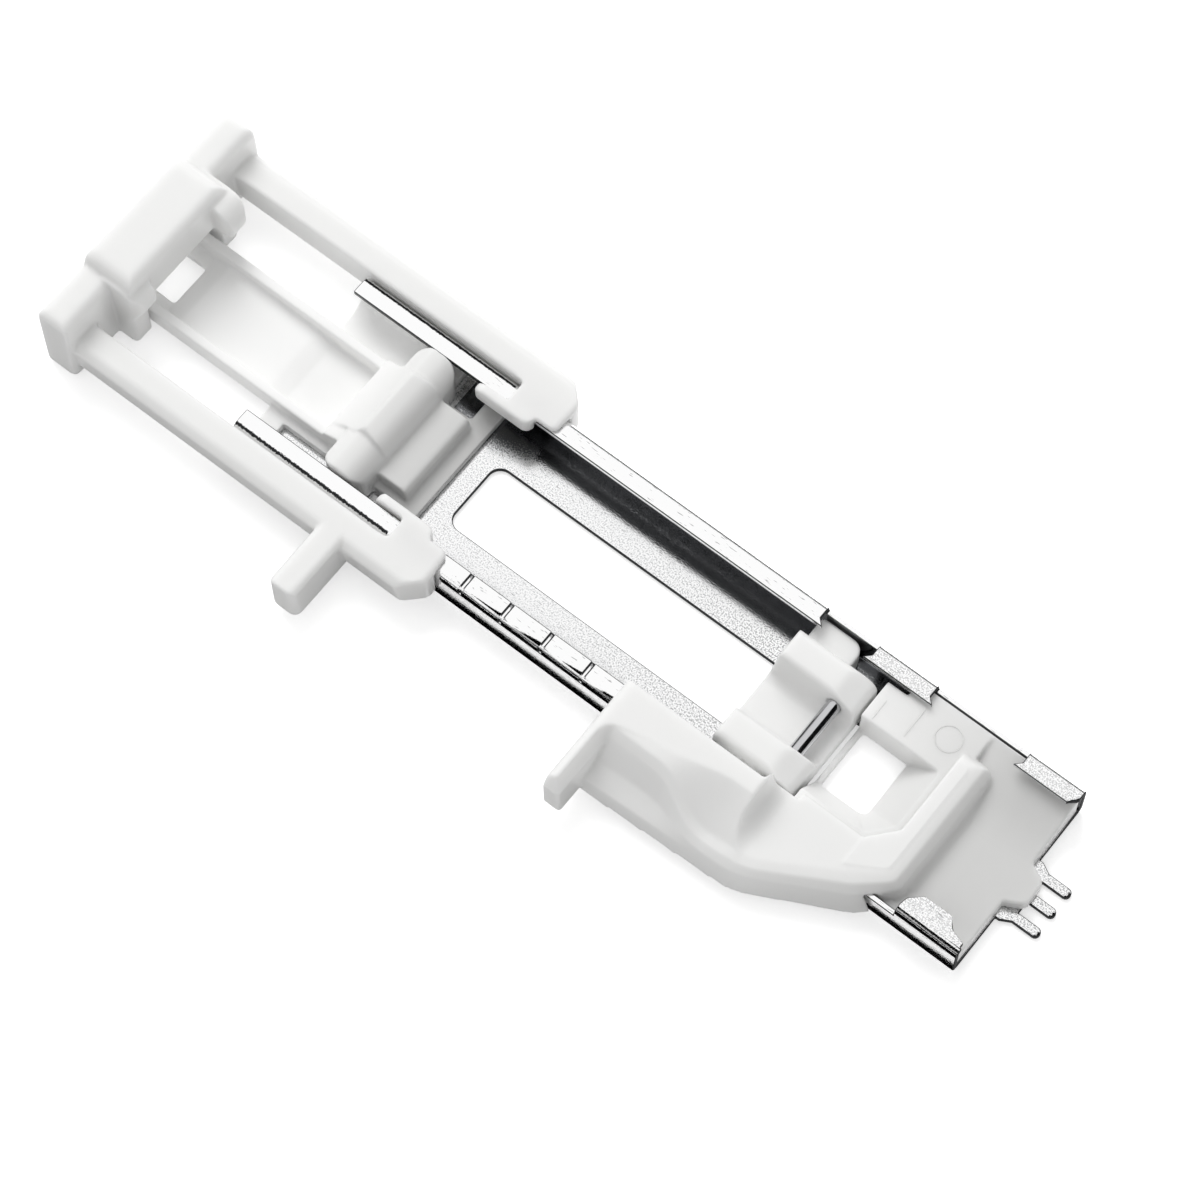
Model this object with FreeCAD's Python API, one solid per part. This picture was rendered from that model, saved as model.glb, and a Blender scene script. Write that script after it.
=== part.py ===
import FreeCAD, Part
import math
import os

from FreeCAD import Vector

# Automatic buttonhole presser foot, millimetres.
# X runs towards the front of the foot, Y to its left side, Z up.
# Heights below are measured from the sole; the finished pieces are lowered at
# the end so that the origin lies on the middle of the ankle pin's axis.

# Stamped sled: a channel of stainless sheet with its edges folded inwards
sheet = 0.6
sled_width = 21.2
sled_back = 64.5
sled_front = 24.6
wall_height = 5.4
fold_radius = 0.9
flange_width = 2.3
open_wall_height = 4.4
crossing_wall_height = 3.8
slot_width = 8.1
slot_back = 42.6
slot_front = 9.4
slot_corner = 1.4
long_flange_end = 6.2
middle_tab_start = 0.1
middle_tab_length = 7.0
front_tab_length = 6.5
near_tab_start = 17.3
near_tab_width = 3.0
tab_corner = 0.7
comb_reach = 4.4
comb_root = 1.5
prong_width = 1.1
prong_pitch = 2.5
prong_count = 3
scale_pitch = 5.0
scale_marks = 5
scale_start = 35.6
scale_groove = 0.4
scale_depth = 0.2

# Fits between the pieces
seat_gap = 0.15
slide_gap = 0.1

# Ankle pin and the moulded shoe that carries it
pin_height = 3.6
pin_diameter = 1.6
pin_length = 11.0
shoe_back = 7.2
shoe_front = 2.4
shoe_top = 5.6
shoe_floor_top = 1.9
saddle_top_half = 3.5
saddle_floor_half = 2.5
shoe_nose_radius = 3.0
wing_back = 6.4
wing_front = 1.2
wing_top = 3.7

# Front plate: deck, needle window, rail, arm with its hump and hook
deck_start = 2.8
deck_top = 4.6
deck_rebate_end = 5.2
deck_rebate_half = 8.0
floor_start = 14.2
floor_top = 2.3
floor_half = 3.6
floor_round = 12.0
near_floor_half = 7.4
near_floor_round = 6.0
near_lip = 3.0
nose_reach = 2.0
nose_half_width = 2.3
window_back = 3.5
window_front = 8.8
window_half_width = 3.45
window_sill = 1.2
recess_front = 13.0
recess_far = 3.6
recess_near = 6.4
notch_half = 7.2
recess_corner_start = 10.6
recess_corner_half = 3.6
recess_overrun = 3
recess_overlap = 0.02
rail_far_end = 7.0
rail_foot = 17.0
rail_near_end = 8.6
rail_turn = 1.5
rail_end_round = 1.5
fillet_round = 1.1
arm_top = 5.1
pad_height = 0.1
pad_back = 10.6
pad_outer = 9.8
pad_outer_front = 7.9
arm_bottom = 1.2
band_top = 3.3
band_lean = 0.4
shoulder_reach = 2.1
shoulder_steps = 3
arm_elbow = 13.9
arm_elbow_reach = 12.0
elbow_radius = 4.5
arm_corner = 3.2
arm_reach = 17.5
arm_corner_radius = 8.0
arm_flare = 0.04
arm_join = 1.0
arm_inner_gap = 0.4
notch_end = 3.5
hump_top = 8.2
hump_inner = 8.4
hump_front = 0.5
hump_fall_start = 9.0
hump_fall_end = 1.2
hump_sections = 9
hump_shy = 0.04
panel_in = 2.4
panel_height = 4.7
rim_rear = 13.1
rim_round = 0.9
crest_rear = 11.4
crest_front = 10.2
hook_back = 16.4
hook_thickness = 1.9
hook_reach = 21.6
hook_bottom = 1.8
hook_top = 8.2
hook_bend = 3.3
hook_soft = 0.9
hook_soft_height = 1.7
arm_clearance = 0.2

# Button plate: base, cross wall, stop bar and tongue
plate_back = 64.3
plate_front = 45.1
plate_top = 1.7
bar_back = 51.0
bar_front = 46.9
stop_half = 5.1
bar_top = 3.6
wall_back = 57.6
wall_band_height = 3.7
ridge_back = 53.6
ridge_top = 6.9
ridge_near_end = 3.6
ridge_far_end = 4.9
lobe_back = 55.4
lobe_front = 50.5
roll_round = 2.6
lobe_top = 6.1
tongue_back = 85.6
tongue_half_width = 5.2
tongue_rim = 1.1
tongue_top = 3.2
tongue_floor = 1.6
pocket_back = 63.8
pocket_floor = 1.0
tongue_window_back = 84.2
tongue_window_front = 79.4
tongue_window_half = 2.5
ramp_front = 77.4

# Button guide: cross bar, jaw block, rods, carriers and peg
bar_rear = 86.2
bar_thickness = 3.9
bar_half = 14.8
bar_height = 10.2
bar_draft = 0.25
bar_crown = 1.0
guide_bottom = 0.3
block_half_width = 8.1
block_lean = 0.7
block_crown = 1.6
block_height = 11.6
block_front = 79.9
jaw_front = 77.3
near_jaw_front = 78.7
jaw_outer = 7.9
jaw_inner = 4.9
jaw_top = 10.3
jaw_bottom = 3.6
jaw_toe = 2.0
jaw_face_height = 3.3
jaw_face_round = 1.5
arch_top = 6.2
arch_gap = 0.5
rod_outer = 14.3
rod_bottom = 1.9
rod_top = 6.3
carrier_front = 38.4
carrier_chamfer = 2.4
bridge_back = 44.5
bridge_front_inner = 41.4
finger_back = 48.2
finger_bottom = 4.0
finger_width = 1.15
finger_gap = 0.15
lip_reach = 1.0
peg_back = 50.8
peg_width = 3.3
peg_reach = 21.4
peg_bottom = 0.8

# Lines that several pieces share
half_width = sled_width / 2
inner_half = half_width - sheet
flange_edge = half_width - flange_width
flange_under = wall_height - sheet
moulding_half = inner_half - seat_gap
rod_inner = half_width + seat_gap
finger_inner = flange_edge - finger_width
shoe_half_width = finger_inner - finger_gap


def flank_reach(x):
    """How far the arm's flank reaches out at its foot behind the corner."""
    return arm_reach + (arm_corner - x) * arm_flare


def placed(plane, level, u, v):
    """Point of a drawing plane: xy at a height, xz at a width, yz at a length."""
    if plane == "xy":
        return Vector(u, v, level)
    if plane == "xz":
        return Vector(u, level, v)
    return Vector(level, u, v)


def outline(plane, level, corners):
    """Closed wire through corners (u, v) or (u, v, radius)."""
    count = len(corners)
    starts = []
    ends = []
    arcs = []
    for i in range(count):
        here = placed(plane, level, corners[i][0], corners[i][1])
        radius = corners[i][2] if len(corners[i]) > 2 else 0.0
        if radius <= 0:
            starts.append(here)
            ends.append(here)
            arcs.append(None)
            continue
        last = corners[i - 1]
        following = corners[(i + 1) % count]
        to_last = (placed(plane, level, last[0], last[1]) - here).normalize()
        to_next = (placed(plane, level, following[0], following[1]) - here).normalize()
        half_angle = to_last.getAngle(to_next) / 2
        reach = radius / math.tan(half_angle)
        middle = (to_last + to_next).normalize()
        first = here + to_last * reach
        second = here + to_next * reach
        crown = here + middle * (radius / math.sin(half_angle) - radius)
        starts.append(first)
        ends.append(second)
        arcs.append(Part.Arc(first, crown, second).toShape())
    edges = []
    for i in range(count):
        if arcs[i]:
            edges.append(arcs[i])
        here = ends[i]
        there = starts[(i + 1) % count]
        if here.distanceToPoint(there) > 1e-6:
            edges.append(Part.LineSegment(here, there).toShape())
    return Part.Wire(edges)


def prism(plane, start, stop, corners):
    """Solid between two parallel planes with the same outline."""
    face = Part.Face(outline(plane, start, corners))
    origin = placed(plane, start, 0, 0)
    return face.extrude(placed(plane, stop, 0, 0) - origin)


def block(x0, x1, y0, y1, z0, z1):
    return Part.makeBox(x1 - x0, y1 - y0, z1 - z0, Vector(x0, y0, z0))


def mirrored(shape):
    """The same form on the other side of the middle plane."""
    return shape.mirror(Vector(0, 0, 0), Vector(0, 1, 0))


# Sled

def sled_channel():
    """Channel section with both edges folded inwards, one length of it."""
    inside = fold_radius - sheet
    section = [
        (-half_width, 0, fold_radius),
        (half_width, 0, fold_radius),
        (half_width, wall_height, fold_radius),
        (flange_edge, wall_height),
        (flange_edge, flange_under),
        (inner_half, flange_under, inside),
        (inner_half, sheet, inside),
        (-inner_half, sheet, inside),
        (-inner_half, flange_under, inside),
        (-flange_edge, flange_under),
        (-flange_edge, wall_height),
        (-half_width, wall_height, fold_radius),
    ]
    return prism("yz", -sled_back, sled_front, section)


def flange_gap(start, stop, height, side):
    """Space left where the flange is cut away and the wall is lowered."""
    corners = [
        (start + tab_corner, side * (flange_edge - 1)),
        (start + tab_corner, side * flange_edge),
        (start, side * (flange_edge + tab_corner)),
        (start, side * (half_width + 1)),
        (stop, side * (half_width + 1)),
        (stop, side * (flange_edge + tab_corner)),
        (stop - tab_corner, side * flange_edge),
        (stop - tab_corner, side * (flange_edge - 1)),
    ]
    return prism("xy", height, wall_height + 1, corners)


def near_tab():
    """Broad tab at the near front corner, cut back in a curve towards its tip."""
    inner = -half_width + near_tab_width
    root = -half_width + fold_radius
    tip = sled_front - 0.2
    return prism("xy", flange_under, wall_height, [
        (near_tab_start, root), (near_tab_start + 0.2, root + 0.9, 0.5), (near_tab_start + 1.5, inner, 0.6),
        (tip - 2.4, inner, 0.5), (tip - 1.6, inner - 1.1, 0.8), (tip, inner - 1.6), (tip, root)])


def scale_grooves():
    """Grooves across the near flange, one every five millimetres."""
    grooves = []
    for i in range(scale_marks):
        x = -scale_start + i * scale_pitch
        half = scale_groove / 2
        across = block(x - half, x + half, -half_width - 1, -flange_edge + 1,
                       wall_height - scale_depth, wall_height + 1)
        beside = block(x - half, x + half, -half_width - 1, -half_width + scale_depth,
                       flange_under - scale_depth, wall_height + 1)
        grooves += [across, beside]
    return grooves


def comb():
    """Row of rounded prongs that reaches out under the plate's nose."""
    tip = sled_front + comb_reach
    root = sled_front + comb_root
    half = prong_pitch * (prong_count - 1) / 2 + prong_width / 2
    pieces = [prism("xy", 0, sheet, [
        (sled_front - 1, -half - 0.6), (sled_front + 0.4, -half - 0.6),
        (root, -half), (root, half),
        (sled_front + 0.4, half + 0.6), (sled_front - 1, half + 0.6)])]
    end_radius = prong_width / 2 - 0.02
    for i in range(prong_count):
        y = (i - (prong_count - 1) / 2) * prong_pitch
        pieces.append(prism("xy", 0, sheet, [
            (root - 0.5, y - prong_width / 2), (tip, y - prong_width / 2, end_radius),
            (tip, y + prong_width / 2, end_radius), (root - 0.5, y + prong_width / 2)]))
    return pieces


def metal_sled():
    sled = sled_channel()
    slot = prism("xy", -1, sheet + 1, [
        (-slot_back, -slot_width / 2, slot_corner), (slot_front, -slot_width / 2, slot_corner),
        (slot_front, slot_width / 2, slot_corner), (-slot_back, slot_width / 2, slot_corner)])
    middle_tab_end = middle_tab_start + middle_tab_length
    front_tab = sled_front - front_tab_length
    cuts = [
        slot,
        flange_gap(-long_flange_end, middle_tab_start, open_wall_height, 1),
        flange_gap(middle_tab_end, front_tab, open_wall_height, 1),
        flange_gap(-long_flange_end, near_tab_start, crossing_wall_height, -1),
        block(near_tab_start - 1, sled_front + 1, -half_width + fold_radius, 0,
              flange_under, wall_height + 1),
    ]
    sled = sled.cut(cuts + scale_grooves())
    corner = prism("xy", flange_under - 1, wall_height + 1, [
        (sled_front - 0.8, flange_edge - 1), (sled_front - 0.8, flange_edge + 0.1, 0.4),
        (sled_front + 1, flange_edge + 1.6), (sled_front + 1, flange_edge - 1)])
    return sled.cut(corner).fuse([near_tab()] + comb()).removeSplitter()


# Shoe that snaps on the machine's ankle

def ankle_slider():
    floor = sheet + slide_gap
    across = prism("yz", -shoe_back - 1, shoe_front + 1, [
        (-shoe_half_width, floor), (shoe_half_width, floor),
        (shoe_half_width, shoe_top, 1.0), (saddle_top_half, shoe_top, 0.8),
        (saddle_floor_half, shoe_floor_top, 1.4), (-saddle_floor_half, shoe_floor_top, 1.4),
        (-saddle_top_half, shoe_top, 0.8), (-shoe_half_width, shoe_top, 1.0)])
    along = prism("xz", -shoe_half_width, shoe_half_width, [
        (-shoe_back - 0.3, floor), (shoe_front, floor),
        (shoe_front, shoe_top - 1.2, shoe_nose_radius * 0.4),
        (shoe_front - shoe_nose_radius, shoe_top, 2.5),
        (-shoe_back + 0.2, shoe_top, 0.5)])
    shoe = across.common(along)
    wing = prism("xy", floor, wing_top, [
        (-wing_back, shoe_half_width - 1), (-wing_front, shoe_half_width - 1),
        (-wing_front, moulding_half, 1.4), (-wing_back, moulding_half, 0.5)])
    bore = Part.makeCylinder(pin_diameter / 2, pin_length, Vector(0, -pin_length / 2, pin_height),
                             Vector(0, 1, 0))
    return shoe.fuse([wing, mirrored(wing)]).cut(bore).removeSplitter()


def ankle_pin():
    chamfer = 0.15
    radius = pin_diameter / 2
    half = pin_length / 2
    face = Part.Face(outline("yz", 0, [
        (-half, pin_height), (-half, pin_height + radius - chamfer),
        (-half + chamfer, pin_height + radius), (half - chamfer, pin_height + radius),
        (half, pin_height + radius - chamfer), (half, pin_height)]))
    return face.revolve(Vector(0, 0, pin_height), Vector(0, 1, 0), 360)


# Front plate

def front_floor():
    """Deck and scooped toe between the side walls."""
    front = sled_front - seat_gap
    deck = prism("xz", -moulding_half, moulding_half, [
        (deck_start, sheet), (floor_start, sheet), (floor_start, deck_top), (deck_start, deck_top)])
    scoop = prism("yz", floor_start, front, [
        (-moulding_half, sheet), (moulding_half, sheet),
        (moulding_half, deck_top), (floor_half, floor_top, floor_round),
        (-near_floor_half, floor_top, near_floor_round), (-moulding_half, near_lip)])
    nose = prism("xy", sheet, floor_top, [
        (front - 1, -nose_half_width), (front + 0.3, -nose_half_width, 0.3),
        (front + nose_reach, -nose_half_width + 0.9, 0.9), (front + nose_reach, nose_half_width - 0.9, 0.9),
        (front + 0.3, nose_half_width, 0.3), (front - 1, nose_half_width)])
    floor = deck.fuse([scoop, nose])
    rebate = block(deck_start - 1, deck_rebate_end, deck_rebate_half, moulding_half + 1,
                   sheet - 1, deck_top + 1)
    return floor.cut(rebate)


def needle_opening():
    """Sloping recess that leads down to the needle window."""
    top = outline("xy", arm_top + pad_height + 0.05, [
        (deck_start - recess_overrun, -recess_near - recess_overlap),
        (recess_corner_start, -recess_near - recess_overlap),
        (recess_front + recess_overlap, -recess_corner_half), (recess_front + recess_overlap, recess_far),
        (deck_start - recess_overrun, recess_far)])
    low = outline("xy", window_sill, [
        (deck_start - recess_overrun, -window_half_width), (window_front - 1.0, -window_half_width),
        (window_front, -window_half_width + 1.0), (window_front, window_half_width),
        (deck_start - recess_overrun, window_half_width)])
    slope = Part.makeLoft([low, top], True, True)
    window = block(window_back, window_front, -window_half_width, window_half_width, -1, window_sill + 1)
    return [slope, window]


def shoulder(part):
    """Reach inwards and height of one step of the soft shoulder along rail and arm."""
    angle = math.pi / 2 * part / shoulder_steps
    inward = band_lean + shoulder_reach * (1 - math.cos(angle))
    return inward, band_top + (arm_top - band_top) * math.sin(angle)


def arm_ring(inward, level):
    """Outline of the rail's and the arm's outer side at one height, moved in from its foot."""
    return outline("xy", level, [
        (rail_foot - inward, rail_far_end), (rail_foot - inward, -rail_near_end + inward * 0.3, rail_turn),
        (arm_elbow - inward, -arm_elbow_reach + inward * 0.8, elbow_radius),
        (arm_corner, -arm_reach + inward, arm_corner_radius),
        (-arm_join, -flank_reach(-arm_join) + inward), (-arm_join, rail_far_end)])


def lower_arm():
    """Rail and low part of the arm, with one soft shoulder along their outer side."""
    rings = [arm_ring(0, arm_bottom)]
    for part in range(shoulder_steps + 1):
        rings.append(arm_ring(*shoulder(part)))
    body = Part.makeLoft(rings[:2], True, True)
    for i in range(1, len(rings) - 1):
        body = body.fuse(Part.makeLoft(rings[i:i + 2], True, True))
    return body


def flank_points(x):
    """Points up the outer side of the hump at one length: foot, panel, rim, crest."""
    share = min(max((x + hump_fall_start) / (hump_fall_start - hump_fall_end), 0), 1)
    fall = share * share * (3 - 2 * share)
    foot = -flank_reach(x)
    behind = [
        (foot + panel_in, panel_height), (-rim_rear - rim_round, hump_top - rim_round * 1.2),
        (-rim_rear, hump_top - rim_round * 0.2), (-crest_rear, hump_top + 0.1)]
    ahead = []
    for part in range(1, shoulder_steps + 1):
        inward, level = shoulder(part)
        ahead.append((foot + inward + hump_shy, level))
    ahead.append((-crest_front, hump_top + 0.1))
    points = [(foot, arm_bottom - 0.5), (foot, arm_bottom), (foot + band_lean + hump_shy, band_top)]
    for rear, front in zip(behind, ahead):
        points.append((rear[0] + fall * (front[0] - rear[0]), rear[1] + fall * (front[1] - rear[1])))
    return points


def hump():
    """Raised part of the arm: a hollow flank under a rim that falls away towards the front."""
    sections = []
    rear = -hook_back - 1
    front = hump_front + 2
    for i in range(hump_sections):
        x = rear + (front - rear) * i / (hump_sections - 1)
        sections.append(outline("yz", x, flank_points(x) + [
            (-hump_inner + 1, hump_top + 0.1), (-hump_inner + 1, arm_bottom - 0.5)]))
    return Part.makeLoft(sections, True, False)


def hook_ring(level, inward):
    """Outline of the finger and its sweep into the flank, its edge moved in by some way."""
    front = -hook_back + hook_thickness - inward
    bend = -hook_back + hook_thickness + hook_bend
    root = -rim_rear - rim_round + inward
    return outline("xy", level, [
        (-hook_back, -hump_inner), (-hook_back, -hook_reach + inward), (front, -hook_reach + inward, 0.4),
        (front, root, hook_bend * 0.6), (bend, root + rim_round), (bend, -hump_inner)])


def hook():
    """Finger at the arm's rear end that the machine's lever pulls on."""
    bend = -hook_back + hook_thickness + hook_bend
    waist = hook_top - hook_soft_height
    finger = Part.makeLoft([hook_ring(hook_bottom, 0), hook_ring(waist, 0)], True, True)
    finger = finger.fuse(Part.makeLoft([hook_ring(waist, 0), hook_ring(hook_top, hook_soft)], True, True))
    beside_wall = -half_width - arm_clearance
    over_wall = wall_height + arm_clearance
    section = prism("yz", -hook_back, bend, [
        (-hook_reach, hook_bottom, 0.6), (beside_wall, hook_bottom), (beside_wall, over_wall),
        (-hump_inner, over_wall), (-hump_inner, hook_top), (-hook_reach, hook_top)])
    side = prism("xz", -hook_reach, 0, [
        (-hook_back, hook_bottom), (bend, hook_bottom), (bend, hook_top), (-hook_back, hook_top, 0.9)])
    return finger.common(section).common(side)


def rail_fillet():
    """Hollow sweep from the toe's floor up into the rail."""
    return prism("xz", -rail_near_end + rail_turn, rail_far_end - rail_end_round, [
        (rail_foot - 1, floor_top - 0.5), (rail_foot + fillet_round, floor_top - 0.5),
        (rail_foot + fillet_round, floor_top), (rail_foot - band_lean * 0.6, floor_top, fillet_round),
        (rail_foot - band_lean - 0.05, band_top), (rail_foot - 1, band_top)])


def rail_and_arm():
    """Rail across the deck, running out into the arm, hump and hook."""
    step = prism("xz", -hook_reach, rail_far_end + 1, [
        (-hook_back, arm_bottom), (rail_foot, arm_bottom), (rail_foot, arm_top),
        (hump_front, arm_top, 2.4), (hump_front, hump_top, 0.4), (-hook_back, hump_top, 0.9)])
    across = prism("yz", -hook_back - 1, rail_foot + 1, [
        (-hook_reach, 0), (rail_far_end, 0), (rail_far_end, arm_top, rail_end_round),
        (-notch_half + 0.4, arm_top), (-notch_half + 0.4, hump_top + 1), (-hook_reach, hump_top + 1)])
    keep = prism("xy", arm_bottom - 1, hump_top + 1, [
        (-hook_back, -hook_reach), (rail_foot, -hook_reach), (rail_foot, rail_far_end, 2.2),
        (recess_front, rail_far_end, 0.8), (recess_front, -recess_corner_half),
        (recess_corner_start, -recess_near), (notch_end, -recess_near), (notch_end, -notch_half),
        (hump_front, -notch_half), (hump_front - 0.4, -hump_inner, 0.4), (-hook_back, -hump_inner, 0.8)])
    form = step.common(keep).common(across)
    return hump().common(form).fuse([lower_arm().common(form), hook(), rail_fillet()])


def arm_undercuts():
    """Room under the arm for the near wall and its flange."""
    outer = half_width + arm_clearance
    over_flange = block(-hook_back - 1, -long_flange_end + arm_inner_gap, -outer, 0,
                        -1, wall_height + arm_clearance)
    over_wall = block(-hook_back - 1, rail_foot, -outer, -moulding_half,
                      -1, crossing_wall_height + arm_clearance)
    over_shoe = block(-hook_back - 1, deck_start, -outer, 0, -1, crossing_wall_height + arm_clearance)
    return [over_flange, over_wall, over_shoe]


def pad():
    """Flat raised land on the rail and the near corner of the deck."""
    far = rail_far_end - rail_end_round
    edge = rail_foot - band_lean - shoulder_reach - 0.1
    return prism("xy", arm_top - 0.5, arm_top + pad_height, [
        (edge, far, 0.5), (edge, -pad_outer_front + 0.5), (edge - 0.5, -pad_outer_front),
        (pad_back, -pad_outer), (pad_back, -recess_near), (recess_front, -recess_corner_half),
        (recess_front, far, 0.5)])


def front_plate():
    plate = front_floor().fuse([rail_and_arm(), pad()])
    plate = plate.cut(arm_undercuts() + needle_opening())
    return plate.removeSplitter()


# Button plate

def cross_wall(far, near, top):
    """Rolled wall across the plate with a sharp edge along its rear, up to one height."""
    wall = prism("xz", near, far, [
        (-wall_back, sheet), (-lobe_front, sheet), (-lobe_front, lobe_top - 0.1, roll_round),
        (-ridge_back, top, 0.3), (-ridge_back - 0.7, top - 0.8, 0.3), (-wall_back, wall_band_height, 0.5)])
    return wall.common(prism("yz", -wall_back - 1, -lobe_front + 1, [
        (near, 0), (far, 0), (far, top, 0.9), (near, top, 0.9)]))


def button_plate():
    base = prism("xy", sheet, plate_top, [
        (-plate_back, -moulding_half), (-plate_front, -moulding_half, 1.0),
        (-plate_front, moulding_half, 1.0), (-plate_back, moulding_half)])
    cove = prism("yz", -plate_back, -lobe_back, [
        (tongue_half_width - 0.5, sheet), (moulding_half, sheet), (moulding_half, flange_under - seat_gap),
        (moulding_half - 0.6, flange_under - seat_gap), (moulding_half - 0.9, plate_top, 2.2),
        (tongue_half_width - 0.5, plate_top)])
    near_opening = block(-plate_back + 2.4, -lobe_back + 1, -moulding_half - 1, -tongue_half_width - 0.9,
                         0, plate_top + 1)
    notch = block(-bar_back - 0.2, -bar_front - 0.6, stop_half + 0.8, moulding_half + 1, 0, plate_top + 1)
    tongue = prism("xz", -tongue_half_width, tongue_half_width, [
        (-tongue_back, sheet), (-lobe_front - 2, sheet), (-lobe_front - 2, tongue_top),
        (-tongue_back, tongue_top, 1.0)])
    channel_half = tongue_half_width - tongue_rim
    channel = prism("xz", -channel_half, channel_half, [
        (-tongue_back + 1.2, tongue_top + 1), (-tongue_back + 1.2, tongue_floor),
        (-tongue_window_front, tongue_floor - 0.3), (-ramp_front, tongue_floor + 0.4),
        (-pocket_back - 2.0, tongue_floor, 2.0), (-pocket_back, pocket_floor, 1.0),
        (-wall_back, pocket_floor), (-wall_back, tongue_top + 1)])
    window = block(-tongue_window_back, -tongue_window_front, -tongue_window_half, tongue_window_half,
                   -1, tongue_top + 1)
    wall = cross_wall(tongue_half_width, -tongue_half_width, lobe_top)
    ridge = cross_wall(ridge_far_end, -ridge_near_end, ridge_top)
    lobe = prism("xz", tongue_half_width - 1.5, flange_edge - seat_gap, [
        (-lobe_back, sheet), (-lobe_front, sheet), (-lobe_front, lobe_top - 0.1, roll_round),
        (-lobe_back + 1.5, lobe_top + 0.1, 1.0), (-lobe_back, lobe_top - 1.0, 0.8)])
    lobe = lobe.common(prism("xy", 0, lobe_top + 1, [
        (-lobe_back, tongue_half_width - 2), (-lobe_front, tongue_half_width - 2),
        (-lobe_front, flange_edge - seat_gap, 1.6), (-lobe_back, flange_edge - seat_gap, 1.6)]))
    bar = prism("xz", -stop_half, stop_half, [
        (-bar_back, sheet), (-bar_front + 0.2, sheet), (-bar_front, bar_top, 0.7), (-bar_back, bar_top)])
    plate = base.cut([near_opening, notch, mirrored(notch)])
    plate = plate.fuse([tongue, cove]).cut([channel, window])
    return plate.fuse([wall, ridge, lobe, mirrored(lobe), bar]).removeSplitter()


# Button guide

def softened_bar(front, half, top, lean, crown):
    """Upright bar from the guide's rear face, drafted and soft at every edge."""
    rear = -bar_rear
    side = prism("xz", -half, half, [
        (rear, guide_bottom, 0.5), (front + bar_draft, guide_bottom, 0.5),
        (front, top, 1.3), (rear + bar_draft, top, 0.8)])
    end = prism("yz", rear - 1, front + 1, [
        (-half, guide_bottom, 0.5), (half, guide_bottom, 0.5), (half - lean, top, crown),
        (lean - half, top, crown)])
    plan = prism("xy", guide_bottom - 1, top + 1, [
        (rear, -half, 0.9), (front + bar_draft, -half, 0.9),
        (front + bar_draft, half, 0.9), (rear, half, 0.9)])
    return side.common(end).common(plan)


def jaw(front):
    """Rounded lobe beside the arch that the button rests against."""
    rear = -bar_rear + bar_thickness - 1
    lobe = prism("xz", jaw_inner, jaw_outer, [
        (rear, jaw_bottom), (-front - jaw_toe, jaw_bottom, 0.8),
        (-front, jaw_top - jaw_face_height, jaw_face_round),
        (-front, jaw_top, 2.7), (rear, jaw_top)])
    return lobe.common(prism("xy", jaw_bottom - 1, jaw_top + 1, [
        (rear, jaw_inner), (-front, jaw_inner, 0.6), (-front, jaw_outer, 1.5), (rear, jaw_outer)]))


def guide_bar():
    """Deep bar across the rear end, raised in its middle into the block whose legs straddle the tongue."""
    rear = -bar_rear
    front = rear + bar_thickness
    bar = softened_bar(front, bar_half, bar_height, bar_draft, bar_crown)
    middle = softened_bar(-block_front, block_half_width, block_height, block_lean, block_crown)
    arch_half = tongue_half_width + arch_gap
    arch = prism("yz", rear - 1, -jaw_front + 1, [
        (-arch_half, guide_bottom - 1), (arch_half, guide_bottom - 1),
        (arch_half, arch_top, 1.2), (-arch_half, arch_top, 1.2)])
    return bar.fuse([middle, jaw(jaw_front), mirrored(jaw(near_jaw_front))]).cut(arch)


def carrier():
    """Rod and the carrier at its front end that wraps the far flange."""
    rear = -bar_rear + 1
    rod_section = [
        (rod_inner, rod_bottom, 0.4), (rod_outer - 0.3, rod_bottom, 0.6),
        (rod_outer, rod_top - 0.8, 0.4), (rod_outer - 0.9, rod_top, 0.9), (rod_inner, rod_top, 0.3)]
    rod = prism("yz", rear, -bridge_back, rod_section)
    head = prism("xy", rod_bottom, rod_top, [
        (-bridge_back - 1, rod_inner), (-bridge_back, rod_inner),
        (-bridge_back, flange_edge - seat_gap), (-finger_back, flange_edge - seat_gap),
        (-finger_back, finger_inner, 0.6), (-bridge_front_inner, finger_inner, 0.9),
        (-bridge_front_inner + 0.3, flange_edge, 0.3), (-carrier_front - 0.3, flange_edge, 0.8),
        (-carrier_front, rod_outer - carrier_chamfer, 1.5),
        (-carrier_front - carrier_chamfer, rod_outer, 1.0),
        (-bridge_back - 1, rod_outer)])
    head = head.common(prism("yz", -finger_back - 1, -carrier_front + 1, [
        (finger_inner - 1, rod_bottom)] + rod_section[1:4] + [(finger_inner, rod_top, 0.6),
        (finger_inner - 1, rod_top - 1.0)]))
    head = head.common(prism("xz", 0, rod_outer + 1, [
        (-finger_back - 1, rod_bottom), (-carrier_front, rod_bottom), (-carrier_front, rod_top, 0.8),
        (-finger_back, rod_top, 1.2), (-finger_back, rod_bottom)]).fuse(
        block(-bridge_back - 1.1, -bridge_back, rod_inner, rod_outer + 1, rod_bottom, rod_top)))
    lip = prism("xy", finger_bottom, flange_under - slide_gap, [
        (-finger_back, finger_inner, 0.6), (-bridge_front_inner, finger_inner, 0.9),
        (-bridge_front_inner, flange_edge + lip_reach), (-finger_back, flange_edge + lip_reach, 0.5)])
    flange_room = block(-finger_back - 1, -carrier_front + 1, flange_edge - slide_gap, rod_inner,
                        -1, wall_height + slide_gap)
    under_finger = block(-finger_back - 1, -carrier_front + 1, 0, rod_inner, -1, finger_bottom)
    return rod.fuse(head.cut([flange_room, under_finger])).fuse(lip)


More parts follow.
